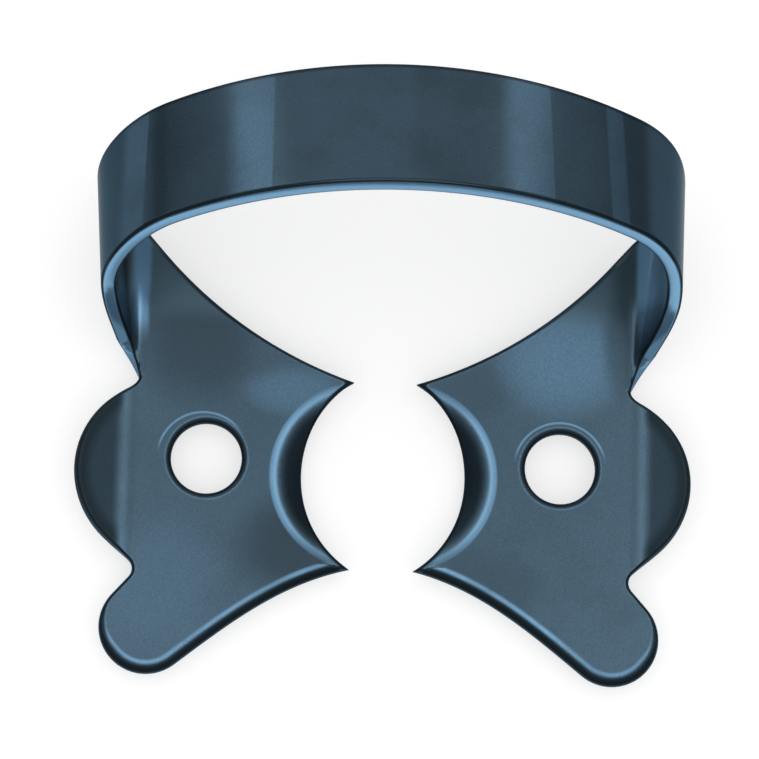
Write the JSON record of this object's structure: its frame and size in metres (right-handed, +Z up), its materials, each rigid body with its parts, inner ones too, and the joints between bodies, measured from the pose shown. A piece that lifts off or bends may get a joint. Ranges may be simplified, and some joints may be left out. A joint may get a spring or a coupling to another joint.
{
  "type": "rubber dam clamp",
  "caption": "Rubber dam clamp folded from blued spring steel: winged jaw plates, a forceps hole in each, and an arched bow that leans back behind them.",
  "frame": {"origin": "middle of the clamp's footprint, at the height of the jaws' ground lips, which are its lowest points", "axes": "+X across the plates, +Y from the front wings back to the bow, +Z up from the plates towards the crown of the bow"},
  "size_m": [0.0244, 0.0232, 0.0105],
  "materials": {
    "blued_steel": "blue-grey oxide on satin spring steel"
  },
  "bodies": {
    "root": {"clamp": "blued_steel"}
  },
  "joints": []
}
